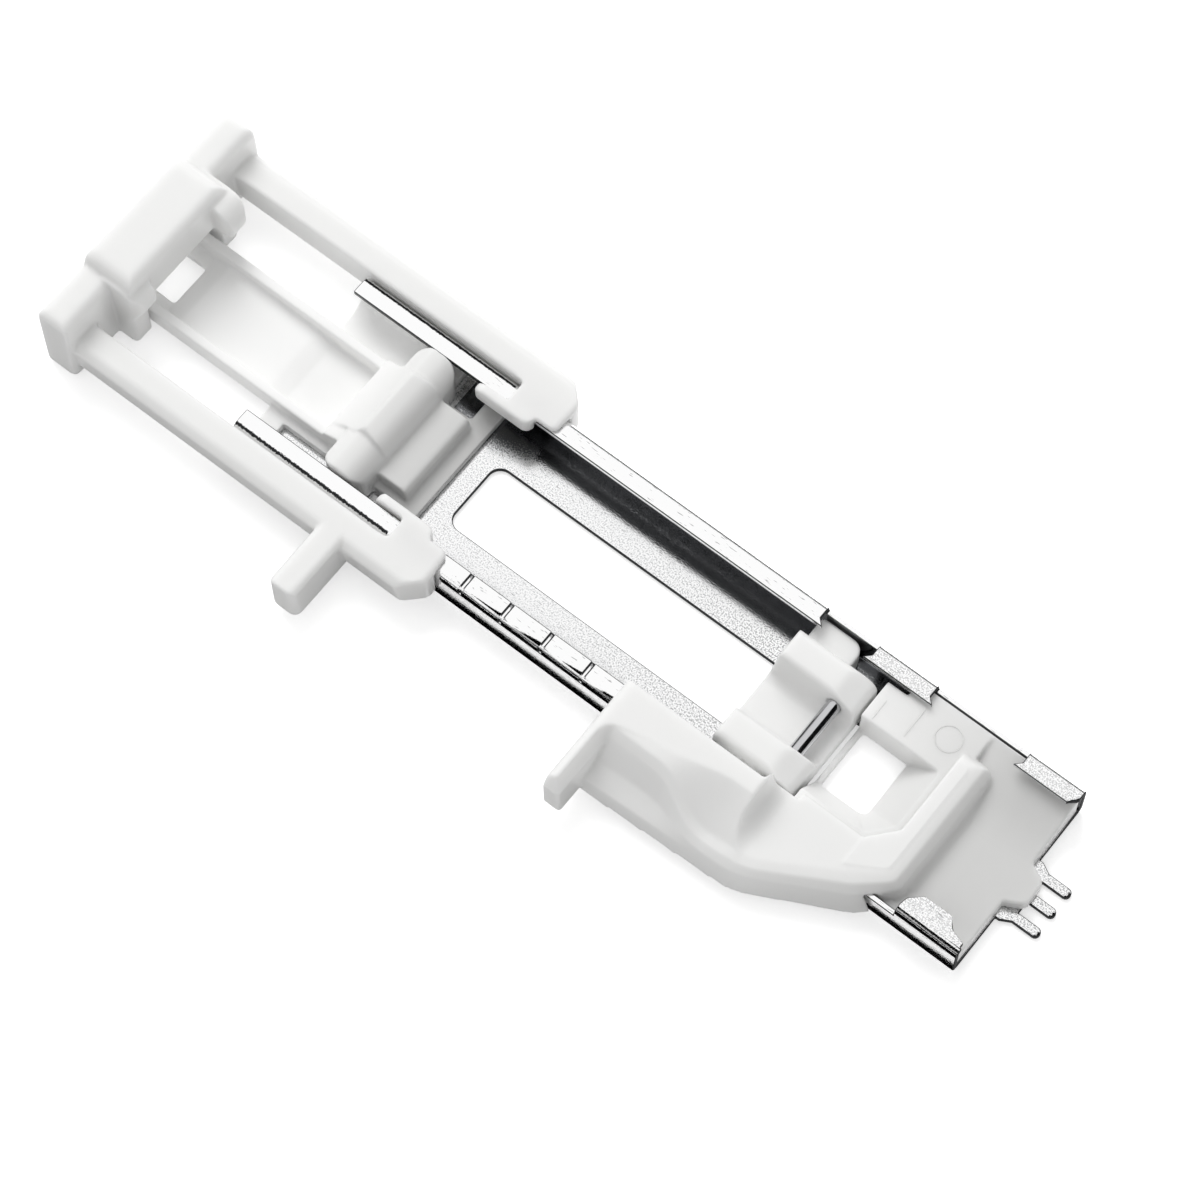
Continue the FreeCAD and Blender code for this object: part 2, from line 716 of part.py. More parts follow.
def peg():
    """Lever stop that reaches out from the near carrier."""
    rear = -peg_back
    front = rear + peg_width
    stop = prism("xz", -peg_reach, -rod_outer + 1.5, [
        (rear + 0.2, peg_bottom, 0.5), (front, peg_bottom, 0.5),
        (front - 0.2, rod_top, 0.7), (rear, rod_top, 0.7)])
    return stop.common(prism("xy", peg_bottom - 1, rod_top + 1, [
        (rear - 1, -rod_outer + 2), (rear - 0.1, -rod_outer + 2), (rear, -peg_reach, 0.7),
        (front, -peg_reach, 1.1), (front, -rod_outer + 2)]))


def button_guide():
    far = carrier()
    return guide_bar().fuse([far, mirrored(far), peg()]).removeSplitter()


def main():
    os.makedirs("parts", exist_ok=True)
    nodes = {
        "metal_sled": metal_sled(),
        "front_plate": front_plate(),
        "button_plate": button_plate(),
        "ankle_slider": ankle_slider(),
        "ankle_pin": ankle_pin(),
        "button_guide": button_guide(),
    }
    for name, shape in nodes.items():
        shape.translate(Vector(0, 0, -pin_height))
        shape.exportStep(f"parts/{name}.step")
        box = shape.BoundBox
        print(name, "solids", len(shape.Solids), "valid", shape.isValid(), "volume", round(shape.Volume, 1),
              "x", round(box.XMin, 2), round(box.XMax, 2), "y", round(box.YMin, 2), round(box.YMax, 2),
              "z", round(box.ZMin, 2), round(box.ZMax, 2))


main()
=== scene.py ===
# %% [markdown]
# # Automatic buttonhole foot
#
# This lesson dresses a small sewing machine foot: a folded stainless sled, four white mouldings
# and one steel pin. The solids come from the CAD frame, in metres, and keep their places. Here
# they get soft moulded edges, real finishes, a pale studio and a camera.

# %% Frame
import math

import bpy
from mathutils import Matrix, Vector


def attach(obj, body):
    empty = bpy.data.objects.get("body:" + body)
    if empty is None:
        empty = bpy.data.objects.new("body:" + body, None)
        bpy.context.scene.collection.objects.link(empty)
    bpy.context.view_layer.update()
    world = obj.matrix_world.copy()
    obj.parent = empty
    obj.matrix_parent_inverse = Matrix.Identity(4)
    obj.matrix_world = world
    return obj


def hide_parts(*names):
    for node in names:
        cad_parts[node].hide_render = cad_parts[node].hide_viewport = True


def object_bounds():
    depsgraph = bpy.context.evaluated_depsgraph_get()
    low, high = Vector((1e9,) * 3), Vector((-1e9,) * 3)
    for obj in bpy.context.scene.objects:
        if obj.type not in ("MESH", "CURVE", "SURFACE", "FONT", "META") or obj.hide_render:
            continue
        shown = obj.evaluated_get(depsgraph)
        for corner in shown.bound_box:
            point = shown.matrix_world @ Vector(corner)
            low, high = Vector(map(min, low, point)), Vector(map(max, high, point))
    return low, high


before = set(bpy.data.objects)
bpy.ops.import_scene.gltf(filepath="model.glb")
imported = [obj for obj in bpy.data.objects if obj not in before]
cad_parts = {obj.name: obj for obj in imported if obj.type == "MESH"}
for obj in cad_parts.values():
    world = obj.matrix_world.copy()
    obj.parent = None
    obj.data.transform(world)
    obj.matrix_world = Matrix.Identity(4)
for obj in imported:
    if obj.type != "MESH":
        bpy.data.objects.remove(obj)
cad_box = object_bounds()
MM = 0.001
print("CAD box in mm:", [[round(v / MM, 2) for v in corner] for corner in cad_box])

# %% [markdown]
# ## Colours and nodes
#
# Colours are picked as screen colours, and the renderer works in linear light, so one function
# turns hex values into linear ones. One more adds a shader node with its settings and links,
# which keeps every material short enough to read.

# %% Colour and node helpers
def colour(hex_text):
    """Linear RGBA of a screen colour such as #f0f0ee."""
    parts = [int(hex_text[i:i + 2], 16) / 255 for i in (1, 3, 5)]
    linear = [c / 12.92 if c <= 0.04045 else ((c + 0.055) / 1.055) ** 2.4 for c in parts]
    return (*linear, 1.0)


def add(material, kind, inputs=None, **settings):
    """A node of that kind; inputs are numbers, colours or sockets of other nodes."""
    node = material.node_tree.nodes.new(kind)
    for name, value in settings.items():
        setattr(node, name, value)
    for name, value in (inputs or {}).items():
        socket = node.inputs[name]
        if isinstance(value, bpy.types.NodeSocket):
            material.node_tree.links.new(value, socket)
        else:
            socket.default_value = value
    return node


def new_material(name):
    """Empty material and the socket of its object coordinates."""
    material = bpy.data.materials.new(name)
    material.use_nodes = True
    material.node_tree.nodes.clear()
    place = add(material, "ShaderNodeTexCoord").outputs["Object"]
    return material, place


def finish(material, shader):
    """Send the shader to the material's surface."""
    add(material, "ShaderNodeOutputMaterial", {"Surface": shader.outputs[0]})
    return material


def per_mm(count):
    """Noise scale that gives about that many grains in a millimetre."""
    return count / MM


# %% [markdown]
# ## White acetal
#
# The guide, the shoe and both plates are injection moulded in natural acetal, a milky plastic
# that lets a little light in. Its steel mould was blasted fine, so the skin is a soft satin with
# a very shallow grain. Plain white paint would look like chalk, so light is let in about a
# millimetre deep. The real grain is finer than a pixel, so it is drawn about 0.3 mm wide.

# %% White acetal
def moulded_acetal(name, tint, milk=1.0, painted_shade=None):
    """Natural acetal from a finely blasted mould; milk is how much light it lets in."""
    material, place = new_material(name)
    grain = add(material, "ShaderNodeTexNoise", {
        "Vector": place, "Scale": per_mm(3.5), "Detail": 2.0})
    gloss = add(material, "ShaderNodeMapRange", {
        "Value": grain.outputs["Fac"], "From Min": 0.3, "From Max": 0.7,
        "To Min": 0.28, "To Max": 0.34})
    skin = add(material, "ShaderNodeBump", {
        "Height": grain.outputs["Fac"], "Strength": 0.3, "Distance": 0.01 * MM})
    shader = add(material, "ShaderNodeBsdfPrincipled", {
        "Base Color": colour(tint), "Roughness": gloss.outputs["Result"], "IOR": 1.48,
        "Subsurface Weight": milk, "Subsurface Radius": (1.0, 1.0, 1.0),
        "Subsurface Scale": 1.0 * MM, "Normal": skin.outputs["Normal"]})
    # Painted shade: where asked for, the tint greys towards one end and low down.
    if painted_shade:
        shade = painted_shade_tone(material, place, tint, **painted_shade)
        material.node_tree.links.new(shade, shader.inputs["Base Color"])
    return finish(material, shader)


# %% [markdown]
# ### Painted shade on thin walls
#
# A thin wall over steel or in shade sends less light back, so it looks greyer than a thick one.
# The shader can't see how thick a wall is, so that grey is painted into the tint as painted shade.
# It comes in along X towards the thin end, and only below some height, where the wall is thin.

# %% Tone of painted shade on thin walls
def painted_shade_tone(material, place, tint, grey, rear, front, top, foot):
    """Painted shade: tint that turns grey from rear to front along X and from top down to foot, all
    in mm.
    """
    axes = add(material, "ShaderNodeSeparateXYZ", {"Vector": place})
    forward = add(material, "ShaderNodeMapRange", {
        "Value": axes.outputs["X"], "From Min": rear * MM, "From Max": front * MM,
        "To Min": 0.0, "To Max": 1.0})
    low = add(material, "ShaderNodeMapRange", {
        "Value": axes.outputs["Z"], "From Min": top * MM, "From Max": foot * MM,
        "To Min": 0.0, "To Max": 1.0})
    both = add(material, "ShaderNodeMath", {
        0: forward.outputs["Result"], 1: low.outputs["Result"]}, operation="MULTIPLY")
    shade = add(material, "ShaderNodeMix", {
        0: both.outputs[0], 6: colour(tint), 7: colour(grey)}, data_type="RGBA")
    return shade.outputs[2]


acetal_plate = moulded_acetal(
    "White acetal of the front plate", "#f3f3f2", milk=0.8,
    painted_shade={"grey": "#dadad9", "rear": 4, "front": 20, "top": 1.5, "foot": 1.1})
# Painted light: the button plate's tint is lighter than the others', brightening its tongue where
# the rods and block shade it.
acetal_buttons = moulded_acetal(
    "White acetal of the button plate", "#fbfbfa", milk=0.3,
    painted_shade={"grey": "#c9c9c8", "rear": -58, "front": -45, "top": 9, "foot": 8})
acetal_shoe = moulded_acetal("White acetal of the shoe", "#f3f3f2", milk=0.7)
acetal_guide = moulded_acetal("White acetal of the guide", "#f0f0ef", milk=1.0)
# The marks' tint is a little lighter than the painted grey of the deck round them, so they show as
# faint light lines: a painted highlight.
acetal_marks = moulded_acetal("White acetal of the mould marks", "#ececeb", milk=0.0)
print("acetal materials made: 5")

# %% [markdown]
# ## Stainless sheet
#
# The sled is stamped from 0.6 mm stainless sheet. Bright rolled sheet mirrors the room in long
# streaks. One metallic shader does all of it, and masks from the real coordinates say where the
# sheet is pitted, rubbed or dark: how far along the sled, how far from its middle line and how
# high. A picture texture would need seams and a file, and would not follow the folds.

# %% Places on the sled
FOLD_TOPS = 1.0     # higher than this lie only the tops of the folds, in mm
WALL_BENDS = 9.95   # beyond this distance from the middle line the sheet bends, in mm
REAR_END = -45      # behind this place along X the flanges run beside the rods, in mm


def sled_places(material, place):
    """Sockets for where a point lies on the sled, and whether it is on top of a fold."""
    axes = add(material, "ShaderNodeSeparateXYZ", {"Vector": place})
    across = add(material, "ShaderNodeMath", {0: axes.outputs["Y"]}, operation="ABSOLUTE")
    on_top = add(material, "ShaderNodeMath", {
        0: axes.outputs["Z"], 1: FOLD_TOPS * MM}, operation="GREATER_THAN")
    return {"x": axes.outputs["X"], "y": axes.outputs["Y"], "z": axes.outputs["Z"],
            "across": across.outputs[0], "on_top": on_top.outputs[0]}


# %% [markdown]
# ### Pits of the rolls
#
# The flat sole keeps the fine pits of the rolls as grey specks, drawn about 0.2 mm wide, somewhat
# coarser than they are, so that they show. They are painted paler at the rear, a painted
# reflection of the white room, which the sole mirrors more there. A tumbling barrel rubs the bends
# and the tops of the folds clean, but the small tabs at the front only in part.

# %% Tone of the pitted sheet
def pitted_tone(material, at, grain):
    """Bright sheet with grey pits, clean on the bends and on the tops of the folds."""
    between_pits = add(material, "ShaderNodeMapRange", {
        "Value": grain, "From Min": 0.36, "From Max": 0.54, "To Min": 0.0, "To Max": 1.0})
    tumbled = add(material, "ShaderNodeMapRange", {
        "Value": at["x"], "From Min": -1.5 * MM, "From Max": -0.5 * MM,
        "To Min": 1.0, "To Max": 0.55})
    smooth = add(material, "ShaderNodeMath", {
        0: at["on_top"], 1: tumbled.outputs["Result"]}, operation="MULTIPLY")
    clean = add(material, "ShaderNodeMath", {
        0: between_pits.outputs["Result"], 1: smooth.outputs[0]}, operation="MAXIMUM")
    bends = add(material, "ShaderNodeMath", {
        0: at["across"], 1: WALL_BENDS * MM}, operation="GREATER_THAN")
    clean = add(material, "ShaderNodeMath", {
        0: clean.outputs[0], 1: bends.outputs[0]}, operation="MAXIMUM")
    # Painted reflection: the pits are paler at the rear, where the sole mirrors more of the white
    # room.
    to_front = add(material, "ShaderNodeMapRange", {
        "Value": at["x"], "From Min": -30 * MM, "From Max": -8 * MM,
        "To Min": 0.0, "To Max": 1.0})
    pits = add(material, "ShaderNodeMix", {
        0: to_front.outputs["Result"], 6: colour("#d2d3d4"), 7: colour("#a6a7a8")},
        data_type="RGBA")
    tone = add(material, "ShaderNodeMix", {
        0: clean.outputs[0], 6: pits.outputs[2], 7: colour("#fcfcfc")}, data_type="RGBA")
    return tone.outputs[2]


# %% [markdown]
# ### Rubs of use
#
# What slides along the sled leaves short grey scratches that run along it. A noise that is drawn
# out along X gives them, and only its highest peaks are kept, so that they stay few. The rear
# end, where nothing slides, has none.

# %% Tone with rubs
def rubbed_tone(material, at, place, tone):
    """The tone with a few short grey scratches along the sled."""
    drawn_out = add(material, "ShaderNodeMapping", {"Vector": place, "Scale": (0.16, 1.0, 1.0)})
    streaks = add(material, "ShaderNodeTexNoise", {
        "Vector": drawn_out.outputs["Vector"], "Scale": per_mm(7.0), "Detail": 1.0})
    peaks = add(material, "ShaderNodeMapRange", {
        "Value": streaks.outputs["Fac"], "From Min": 0.68, "From Max": 0.74,
        "To Min": 0.0, "To Max": 0.6})
    slid_on = add(material, "ShaderNodeMapRange", {
        "Value": at["x"], "From Min": -48 * MM, "From Max": -46 * MM,
        "To Min": 0.0, "To Max": 1.0})
    rubs = add(material, "ShaderNodeMath", {
        0: peaks.outputs["Result"], 1: slid_on.outputs["Result"]}, operation="MULTIPLY")
    rubbed = add(material, "ShaderNodeMix", {
        0: rubs.outputs[0], 6: tone, 7: colour("#6a6b6c")}, data_type="RGBA")
    return rubbed.outputs[2]


# %% [markdown]
# ### Dark lines at the rear
#
# At the rear the flanges run close beside the white rods, and their bends mirror the dark gap as
# one thin ragged line. The cut lip of each flange is painted as dark there. The gap is too narrow
# for the reflections to find it by themselves, so two masks draw the lines where they belong, as
# painted reflection.

# %% Mask of the dark lines
LIP_END = 8.34       # the cut lip lies within this distance from the middle line, in mm
LINE_PLACE = 10.23   # the line on the bend, counted with the mean of its ragged edge, in mm


def rear_lines(material, at, grain):
    """Mask of the cut lip and of the line on the bend, behind the carriers."""
    lip = add(material, "ShaderNodeMath", {0: at["across"], 1: LIP_END * MM}, operation="LESS_THAN")
    ragged = add(material, "ShaderNodeMath", {
        0: grain, 1: 0.3 * MM, 2: at["across"]}, operation="MULTIPLY_ADD")
    aside = add(material, "ShaderNodeMath", {
        0: ragged.outputs[0], 1: LINE_PLACE * MM}, operation="SUBTRACT")
    aside = add(material, "ShaderNodeMath", {0: aside.outputs[0]}, operation="ABSOLUTE")
    line = add(material, "ShaderNodeMapRange", {
        "Value": aside.outputs[0], "From Min": 0.12 * MM, "From Max": 0.18 * MM,
        "To Min": 1.0, "To Max": 0.0})
    lines = add(material, "ShaderNodeMath", {
        0: lip.outputs[0], 1: line.outputs["Result"]}, operation="MAXIMUM")
    at_rear = add(material, "ShaderNodeMath", {
        0: at["x"], 1: REAR_END * MM}, operation="LESS_THAN")
    for limit in (at_rear.outputs[0], at["on_top"]):
        lines = add(material, "ShaderNodeMath", {
            0: lines.outputs[0], 1: limit}, operation="MULTIPLY")
    return lines.outputs[0]


# %% [markdown]
# ### Painted shade in the folds
#
# Under the folds the sole is painted darker, as painted shade and painted reflection of the folds
# over it. Its edge on the sole is a cloud of grains. In the rear corner on the far side it reaches
# further in, as painted shadow and reflection of the button plate there.

# %% Mask of the painted shade in the folds
def painted_fold_shade(material, at, grain):
    """Mask of the painted shade under the folds, with a grainy edge on the sole."""
    to_rear = add(material, "ShaderNodeMapRange", {
        "Value": at["x"], "From Min": -37 * MM, "From Max": -44 * MM,
        "To Min": 0.0, "To Max": 1.0})
    to_far = add(material, "ShaderNodeMapRange", {
        "Value": at["y"], "From Min": 0.0, "From Max": 5 * MM, "To Min": 0.0, "To Max": 2.6 * MM})
    reach = add(material, "ShaderNodeMath", {
        0: to_rear.outputs["Result"], 1: to_far.outputs["Result"], 2: at["across"]},
        operation="MULTIPLY_ADD")
    scatter = add(material, "ShaderNodeMath", {
        0: grain, 1: 8.0 * MM, 2: reach.outputs[0]}, operation="MULTIPLY_ADD")
    skin = add(material, "ShaderNodeMapRange", {
        "Value": scatter.outputs[0], "From Min": 11.0 * MM, "From Max": 12.6 * MM,
        "To Min": 0.0, "To Max": 1.0})
    # The painted shade is kept off the outer walls, the sheet's underside, the tops and the rear
    # end.
    for socket, edge, side in (("across", 10.1, "LESS_THAN"), ("z", -3.3, "GREATER_THAN"),
                               ("z", 1.15, "LESS_THAN"), ("x", -50, "GREATER_THAN")):
        limit = add(material, "ShaderNodeMath", {0: at[socket], 1: edge * MM}, operation=side)
        skin = add(material, "ShaderNodeMath", {
            0: skin.outputs[0], 1: limit.outputs[0]}, operation="MULTIPLY")
    return skin.outputs[0]


# %% [markdown]
# ### The whole sheet
#
# The tones are laid over each other, the dark ones last. The same grain that draws the pits makes
# them shallow bumps and a little duller than the sheet between them. Slow waves from the rolls,
# about 2 mm long, make the mirrored edges ripple.

# %% Stainless sheet
def rolled_stainless():
    """Bright rolled stainless sheet with pits, rubs, dark lines and painted shade in the folds."""
    material, place = new_material("Rolled stainless sheet")
    at = sled_places(material, place)
    grain = add(material, "ShaderNodeTexNoise", {
        "Vector": place, "Scale": per_mm(6.0), "Detail": 2.0}).outputs["Fac"]
    waves = add(material, "ShaderNodeTexNoise", {
        "Vector": place, "Scale": per_mm(0.5), "Detail": 1.0}).outputs["Fac"]
    tone = rubbed_tone(material, at, place, pitted_tone(material, at, grain))
    lined = add(material, "ShaderNodeMix", {
        0: rear_lines(material, at, grain), 6: tone, 7: colour("#2c2d2e")}, data_type="RGBA")
    # Painted shade and painted reflection under the folds, in grey #78797b.
    fold_shaded = add(material, "ShaderNodeMix", {
        0: painted_fold_shade(material, at, grain), 6: lined.outputs[2], 7: colour("#78797b")},
        data_type="RGBA")
    rough = add(material, "ShaderNodeMapRange", {
        "Value": grain, "From Min": 0.35, "From Max": 0.65, "To Min": 0.05, "To Max": 0.15})
    ripple = add(material, "ShaderNodeBump", {
        "Height": waves, "Strength": 0.12, "Distance": 0.03 * MM})
    pits = add(material, "ShaderNodeBump", {
        "Height": grain, "Strength": 0.6, "Distance": 0.015 * MM,
        "Normal": ripple.outputs["Normal"]})
    shader = add(material, "ShaderNodeBsdfPrincipled", {
        "Base Color": fold_shaded.outputs[2], "Metallic": 1.0, "Roughness": rough.outputs["Result"],
        "Normal": pits.outputs["Normal"]})
    return finish(material, shader)


stainless = rolled_stainless()
print("nodes in the stainless sheet:", len(stainless.node_tree.nodes))

# %% [markdown]
# ## Drawn steel pin
#
# The pin is cut from drawn steel wire and polished. Drawing leaves lines along the wire that are
# too fine to see one by one, so a noise stretched along Y stands for them.

# %% Drawn steel
def drawn_steel():
    """Polished drawn wire with faint lines along its length."""
    material, place = new_material("Polished drawn steel")
    stretched = add(material, "ShaderNodeMapping", {"Vector": place, "Scale": (1.0, 0.05, 1.0)})
    lines = add(material, "ShaderNodeTexNoise", {
        "Vector": stretched.outputs["Vector"], "Scale": per_mm(6.0), "Detail": 2.0})
    rough = add(material, "ShaderNodeMapRange", {
        "Value": lines.outputs["Fac"], "From Min": 0.3, "From Max": 0.7,
        "To Min": 0.08, "To Max": 0.2})
    bump = add(material, "ShaderNodeBump", {
        "Height": lines.outputs["Fac"], "Strength": 0.3, "Distance": 0.01 * MM})
    shader = add(material, "ShaderNodeBsdfPrincipled", {
        "Base Color": colour("#c9c9cb"), "Metallic": 1.0, "Roughness": rough.outputs["Result"],
        "Normal": bump.outputs["Normal"]})
    return finish(material, shader)


pin_steel = drawn_steel()
print("pin material made")

# %% [markdown]
# ## Sheared edges, painted dark
#
# A punch cuts the first third of a sheet and tears the rest. The torn zone is full of tiny pits
# that swallow light, so every cut edge reads as a thin dark line round the bright metal. A shader
# for bare metal turns white at a glancing angle, which a torn edge never does, so this one is a
# dark matt one. It is darker than torn steel alone: it also holds painted shadow at the rim of the
# slot and painted reflection of the dark room along the lips and ends. The torn pits are drawn
# about 0.25 mm wide, coarser than they are.

# %% Sheared edge, painted dark
def torn_edge_painted_dark():
    """Cut edge of the sheet, torn matt by the punch and painted dark as shadow and reflection."""
    material, place = new_material("Sheared stainless edge, painted dark")
    tear = add(material, "ShaderNodeTexNoise", {
        "Vector": place, "Scale": per_mm(4.0), "Detail": 2.0})
    bump = add(material, "ShaderNodeBump", {
        "Height": tear.outputs["Fac"], "Strength": 0.4, "Distance": 0.02 * MM})
    shader = add(material, "ShaderNodeBsdfPrincipled", {
        "Base Color": colour("#38393a"), "Roughness": 0.7, "Specular IOR Level": 0.15,
        "Normal": bump.outputs["Normal"]})
    return finish(material, shader)


torn_and_painted_dark = torn_edge_painted_dark()
print("sheared edge material made")

# %% [markdown]
# ## Working on one object
#
# Blender's operators act on whatever is selected, and the CAD solids come selected. So each step
# first selects one object alone. A modifier is applied at once, so that each piece is a plain
# mesh in the end.

# %% Helpers for one object
def only(obj):
    """Make one object the only selected and active one."""
    bpy.ops.object.select_all(action="DESELECT")
    obj.hide_viewport = False
    obj.select_set(True)
    bpy.context.view_layer.objects.active = obj


def apply_modifier(obj, kind, **settings):
    """Add one modifier with its settings and apply it at once."""
    only(obj)
    modifier = obj.modifiers.new(kind.title(), kind)
    for name, value in settings.items():
        setattr(modifier, name, value)
    bpy.ops.object.modifier_apply(modifier=modifier.name)


def merged_copy(node, name, flats=None):
    """Copy of a CAD solid, its loose triangles merged; flats is the angle up to which they join."""
    piece = bpy.data.objects.new(name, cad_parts[node].data.copy())
    bpy.context.scene.collection.objects.link(piece)
    piece.data.materials.clear()
    only(piece)
    bpy.ops.object.mode_set(mode="EDIT")
    bpy.ops.mesh.select_all(action="SELECT")
    bpy.ops.mesh.remove_doubles(threshold=0.0005 * MM)
    if flats is not None:
        bpy.ops.mesh.dissolve_limited(angle_limit=flats)
    bpy.ops.object.mode_set(mode="OBJECT")
    return piece


def stand_in(piece, node, body):
    """Let the piece ride on its body and show it in place of the CAD solid."""
    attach(piece, body)
    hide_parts(node)


# %% [markdown]
# ## Moulded pieces
#
# A mould is milled with round cutters, so no edge of a moulding is sharp, inside or out. Rounding
# each edge by hand would be slow. Instead a copy of each solid is rebuilt on a fine grid of voxels
# and relaxed a little, which softens every edge and corner by about 0.2 mm and leaves the flats
# flat. Then the mesh is thinned where it is flat, so that it stays light.

# %% Soft copies of the moulded solids
# Solid, copy, material, slot, body, voxel in mm and the share of triangles that is kept.
mouldings = (
    ("front_plate", "front_plate_moulding", acetal_plate, "white_plate", "sled", 0.16, 0.45),
    ("button_plate", "button_plate_moulding", acetal_buttons, "white_button_plate", "sled",
     0.16, 0.5),
    ("ankle_slider", "ankle_shoe_moulding", acetal_shoe, "white_shoe", "shoe", 0.13, 0.6),
    ("button_guide", "button_guide_moulding", acetal_guide, "white_guide", "guide", 0.18, 0.45),
)


def softened_moulding(node, name, material, body, voxel, keep):
    """Copy of a moulded solid with every edge softened as the mould's cutters leave it."""
    piece = merged_copy(node, name)
    apply_modifier(piece, "REMESH", mode="VOXEL", voxel_size=voxel * MM, adaptivity=0.0)
    apply_modifier(piece, "SMOOTH", factor=0.5, iterations=4)
    apply_modifier(piece, "DECIMATE", decimate_type="COLLAPSE", ratio=keep)
    only(piece)
    bpy.ops.object.shade_smooth()
    piece.data.materials.append(material)
    stand_in(piece, node, body)
    print(name, "triangles", sum(len(p.vertices) - 2 for p in piece.data.polygons))


for node, name, material, slot, body, voxel, keep in mouldings:
    softened_moulding(node, name, material, body, voxel, keep)

# %% [markdown]
# ## Steel solids
#
# The pin is left as the CAD model made it, with smooth shading, because its ends are chamfered
# there already. The sled's own solid gets the sheet's material too.

# %% Materials on the steel solids
for node, material, slot in (("metal_sled", stainless, "sled_steel"),
                             ("ankle_pin", pin_steel, "pin_steel")):
    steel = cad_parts[node]
    steel.data.materials.clear()
    steel.data.materials.append(material)
    only(steel)
    bpy.ops.object.shade_smooth_by_angle(angle=math.radians(32))
    print(node, "faces", len(steel.data.polygons))

# %% [markdown]
# ## Tumbled sled
#
# Tumbling breaks the sharp corners of the stamping by about a tenth of a millimetre. A copy of the
# sled's solid gets that small bevel on each edge. One segment is enough at this size. The normals
# are weighted by area, so that the flats stay flat in reflections and only the bevels turn.

# %% Copy of the sled with eased edges
def eased_steel(node, name, material, body, width):
    """Copy of a steel solid with every sharp edge eased by tumbling, the width in mm."""
    piece = merged_copy(node, name, flats=math.radians(0.5))
    apply_modifier(piece, "BEVEL", width=width * MM, segments=1, limit_method="ANGLE",
                   angle_limit=math.radians(35), use_clamp_overlap=False)
    apply_modifier(piece, "TRIANGULATE")
    only(piece)
    bpy.ops.object.shade_smooth_by_angle(angle=math.radians(32))
    apply_modifier(piece, "WEIGHTED_NORMAL", mode="FACE_AREA", weight=85, keep_sharp=True)
    piece.data.materials.append(material)
    stand_in(piece, node, body)
    print(name, "triangles", len(piece.data.polygons))
    return piece


# %% [markdown]
# ### Where the punch has cut
#
# The cut faces are picked out by their place and their tilt: the rim of the slot, the lips of the
# folds, the ends of walls and tabs, and the prongs with the sole's front edge. Flats look straight
# up or down, so a face that is tilted at all there is a cut or its bevel.

# %% Torn finish on the cut faces
SLOT_RIM = 4.3           # half width that just holds the slot and its bevels, in mm
SLOT_ENDS = (-43, 9.8)   # places along X that just hold the slot, in mm
FOLD_LIPS = (8.15, 8.6)  # the lips of the folds lie between these half widths, in mm
WALLS_FROM = 8.2         # folds, tabs and walls lie beyond this half width, in mm
SOLE_END = 24.4          # the sole's front edge and the prongs lie ahead of this, in mm


def is_cut(face):
    """Whether a face of the sled belongs to an edge that the punch cut."""
    x, across = face.center.x / MM, abs(face.center.y) / MM
    tilt = abs(face.normal.z)   # 1 on a flat, 0 on a wall
    in_slot = across < SLOT_RIM and SLOT_ENDS[0] < x < SLOT_ENDS[1] and tilt < 0.92
    on_lip = FOLD_LIPS[0] < across < FOLD_LIPS[1] and 0.25 < tilt < 0.95
    on_end = abs(face.normal.x) > 0.3 and tilt < 0.95 and across > WALLS_FROM
    at_prongs = x > SOLE_END and tilt < 0.95
    return in_slot or on_lip or on_end or at_prongs


sled = eased_steel("metal_sled", "metal_sled_eased", stainless, "sled", 0.09)
# The cut faces take the torn finish, which is also painted shadow and painted reflection along
# them.
sled.data.materials.append(torn_and_painted_dark)
cut_faces = [face for face in sled.data.polygons if is_cut(face)]
for face in cut_faces:
    face.material_index = 1
print("faces on sheared edges:", len(cut_faces))

# %% [markdown]
# ## Marks of the mould on the deck
#
# Round pins push the plate out of its mould, and each leaves a faint ring where its end was flush
# with the steel. Inserts in the mould leave fine witness lines. They could be painted as bumps, but
# as real edges a few hundredths of a millimetre high they catch the light from any side.

# %% Helper for the marks
DECK_TOP = 1.0   # height of the deck, in mm


def on_deck(piece, name):
    """Ease a mark's edges, fix its place in its mesh and let it ride with the plate."""
    piece.name = name
    apply_modifier(piece, "BEVEL", width=0.02 * MM, segments=1, limit_method="ANGLE",
                   angle_limit=math.radians(40))
    only(piece)
    bpy.ops.object.transform_apply(location=True, rotation=True, scale=True)
    bpy.ops.object.shade_smooth_by_angle(angle=math.radians(35))
    piece.data.materials.append(acetal_marks)
    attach(piece, "sled")
    print(name, "faces", len(piece.data.polygons))


# %% [markdown]
# ### Ejector ring
#
# The ring starts as a low disc, half sunk in the deck. Its top face is inset by the ring's width
# and pushed down below the deck, so that only the rim stands out, by 0.08 mm.

# %% Ejector ring
RING_PLACE = (11.0, 6.8)   # along X and Y, in mm

bpy.ops.object.select_all(action="DESELECT")
bpy.ops.mesh.primitive_cylinder_add(
    vertices=48, radius=1.4 * MM, depth=0.16 * MM,
    location=(RING_PLACE[0] * MM, RING_PLACE[1] * MM, DECK_TOP * MM))
ring = bpy.context.object
bpy.ops.object.mode_set(mode="EDIT")
bpy.ops.mesh.select_all(action="DESELECT")
bpy.ops.object.mode_set(mode="OBJECT")
for face in ring.data.polygons:
    face.select = face.normal.z > 0.9
bpy.ops.object.mode_set(mode="EDIT")
bpy.ops.mesh.inset(thickness=0.1 * MM)
bpy.ops.transform.translate(value=(0, 0, -0.13 * MM))
bpy.ops.object.mode_set(mode="OBJECT")
on_deck(ring, "ejector_ring")

# %% [markdown]
# ### Witness lines
#
# Each line is a thin bar across the deck, half sunk in it, where two inserts of the mould met.

